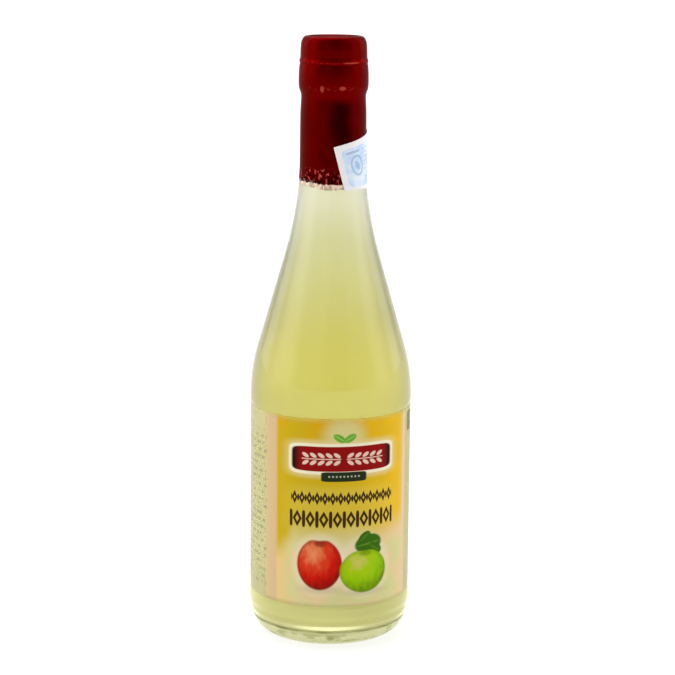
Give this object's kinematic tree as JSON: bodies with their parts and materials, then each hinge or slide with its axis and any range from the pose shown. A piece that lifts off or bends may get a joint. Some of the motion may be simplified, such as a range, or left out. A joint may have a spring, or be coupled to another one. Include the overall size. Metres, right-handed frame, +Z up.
{
  "type": "vinegar bottle",
  "caption": "Slender clear glass bottle of pale vinegar, with a red capsule over the closure, a wrap-around label and a small tilted sticker on the neck.",
  "frame": {"origin": "centre of the ring that the bottle stands on", "axes": "+Z up along the bottle's axis, -Y towards the front of the label, +X to the right of it"},
  "size_m": [0.07, 0.07, 0.26],
  "materials": {
    "clear_glass": "clear glass with a faint olive cast at its edges",
    "vinegar": "pale yellow, slightly hazy liquid",
    "red_capsule": "gloss dark red shrink film, crimped at its lower edge",
    "label_film": "satin printed label, yellow front field and cream side panels",
    "sticker_paper": "satin pale blue sticker with a white border"
  },
  "bodies": {
    "root": {"glass_bottle": "clear_glass", "vinegar": "vinegar", "capsule": "red_capsule", "wrap_label": "label_film", "neck_sticker": "sticker_paper"}
  },
  "joints": []
}
